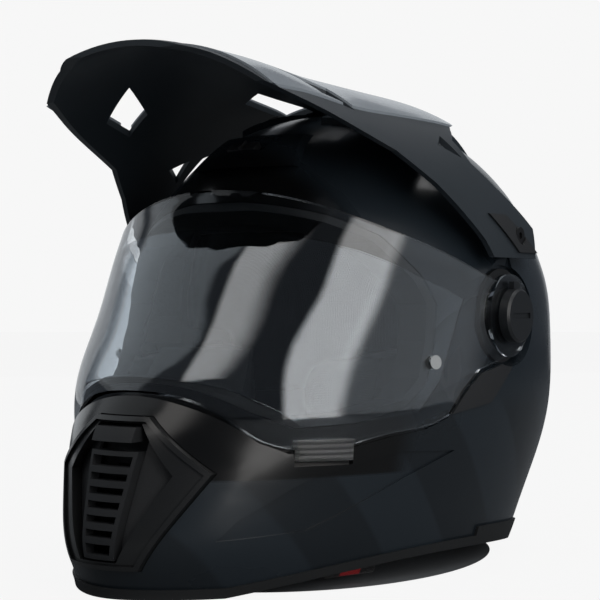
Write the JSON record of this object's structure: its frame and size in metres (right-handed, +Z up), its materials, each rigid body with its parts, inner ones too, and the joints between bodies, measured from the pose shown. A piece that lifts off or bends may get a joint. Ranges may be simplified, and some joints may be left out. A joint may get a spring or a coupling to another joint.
{
  "type": "dual sport helmet",
  "caption": "Dual sport helmet with a long vented peak, a clear lifting face shield, a slatted chin vent and a padded, strapped interior",
  "frame": {"origin": "Under the middle of the whole helmet, on the surface that it stands on", "axes": "+Z up, -Y towards the face, +X towards the wearer's left"},
  "size_m": [0.2544, 0.3392, 0.2696],
  "materials": {
    "shell_gloss": "high gloss, very dark blue-grey paint over moulded plastic",
    "peak_satin": "satin moulded plastic",
    "panel_gloss": "gloss lacquered panel",
    "vent_matte": "fine textured matte moulding",
    "trim_rubber": "matte rubber edge",
    "shield_clear": "clear hard-coated polycarbonate, lightly smoked",
    "insert_clear": "clear anti-fog film",
    "liner_foam": "expanded bead foam, black",
    "lining_cloth": "brushed knit over foam",
    "filter_foam": "open-cell foam",
    "strap_web": "woven polyester webbing",
    "tab_red": "red woven tab",
    "metal_bright": "plated steel",
    "metal_dark": "black oxide steel"
  },
  "bodies": {
    "helmet": {"outer_shell": "shell_gloss", "base_trim": "trim_rubber", "eyeport_gasket": "trim_rubber", "foam_liner": "liner_foam", "chin_foam": "liner_foam", "cheek_foam_left": "liner_foam", "cheek_foam_right": "liner_foam", "comfort_liner": "lining_cloth", "cheek_pad_left": "lining_cloth", "cheek_pad_right": "lining_cloth", "neck_roll": "lining_cloth", "chin_curtain": "lining_cloth", "breath_deflector": "trim_rubber", "brow_trim": "trim_rubber", "side_covers": "vent_matte", "pivot_plates": "vent_matte", "chin_vent_frame": "vent_matte", "chin_vent_backing": "vent_matte", "chin_vent_grille": "vent_matte", "chin_vent_filter": "filter_foam", "forehead_vent": "shell_gloss", "crown_vents": "shell_gloss", "rear_spoiler": "shell_gloss", "strap_anchors": "metal_dark", "chin_strap_left": "strap_web", "chin_strap_right": "strap_web", "pull_tab_left": "tab_red", "pull_tab_right": "tab_red", "peak_side_screws": "metal_dark", "peak_bushes": "vent_matte", "crown_boss": "vent_matte", "crown_screw": "metal_dark"},
    "face_shield": {"face_shield": "shield_clear", "antifog_insert": "insert_clear", "insert_pins": "metal_bright"},
    "pivot_cap_left": {"pivot_cap_left": "vent_matte"},
    "pivot_cap_right": {"pivot_cap_right": "vent_matte"},
    "peak": {"peak": "peak_satin", "peak_top_panel": "panel_gloss", "peak_screw_covers": "vent_matte"},
    "chin_vent_shutter": {"chin_vent_shutter": "vent_matte"},
    "forehead_vent_slider": {"forehead_vent_slider": "vent_matte"},
    "crown_vent_slider_left": {"crown_vent_slider_left": "vent_matte"},
    "crown_vent_slider_right": {"crown_vent_slider_right": "vent_matte"},
    "d_ring_lower": {"d_ring_lower": "metal_bright"},
    "d_ring_upper": {"d_ring_upper": "metal_bright"}
  },
  "joints": [
    {"name": "shield_hinge", "type": "hinge", "parent": "helmet", "child": "face_shield", "pos_m": [0, 0.02133, 0.134], "axis": [-1, 0, 0], "range_deg": [0, 48]},
    {"name": "pivot_cap_left_turn", "type": "hinge", "parent": "helmet", "child": "pivot_cap_left", "pos_m": [0.12, 0.02133, 0.134], "axis": [1, 0, 0], "range_deg": [0, 35]},
    {"name": "pivot_cap_right_turn", "type": "hinge", "parent": "helmet", "child": "pivot_cap_right", "pos_m": [-0.12, 0.02133, 0.134], "axis": [-1, 0, 0], "range_deg": [0, 35]},
    {"name": "peak_tilt", "type": "hinge", "parent": "helmet", "child": "peak", "pos_m": [0, 0.02703, 0.1765], "axis": [-1, 0, 0], "range_deg": [0, 4]},
    {"name": "chin_vent_slide", "type": "slide", "parent": "helmet", "child": "chin_vent_shutter", "axis": [0, -0.2651, -0.9642], "range_m": [0, 0.00331]},
    {"name": "forehead_vent_slide", "type": "slide", "parent": "helmet", "child": "forehead_vent_slider", "axis": [1, 0, 0], "range_m": [0, 0.006]},
    {"name": "crown_vent_left_slide", "type": "slide", "parent": "helmet", "child": "crown_vent_slider_left", "axis": [0.0363, 0.9893, 0.141], "range_m": [0, 0.006]},
    {"name": "crown_vent_right_slide", "type": "slide", "parent": "helmet", "child": "crown_vent_slider_right", "axis": [-0.0363, 0.9893, 0.141], "range_m": [0, 0.006]},
    {"name": "d_ring_lower_swing", "type": "hinge", "parent": "helmet", "child": "d_ring_lower", "pos_m": [0.02852, 0.04261, 0.013], "axis": [0, -1, 0], "range_deg": [0, 20]},
    {"name": "d_ring_upper_swing", "type": "hinge", "parent": "helmet", "child": "d_ring_upper", "pos_m": [0.02852, 0.04261, 0.0174], "axis": [0, 1, 0], "range_deg": [0, 60]}
  ]
}
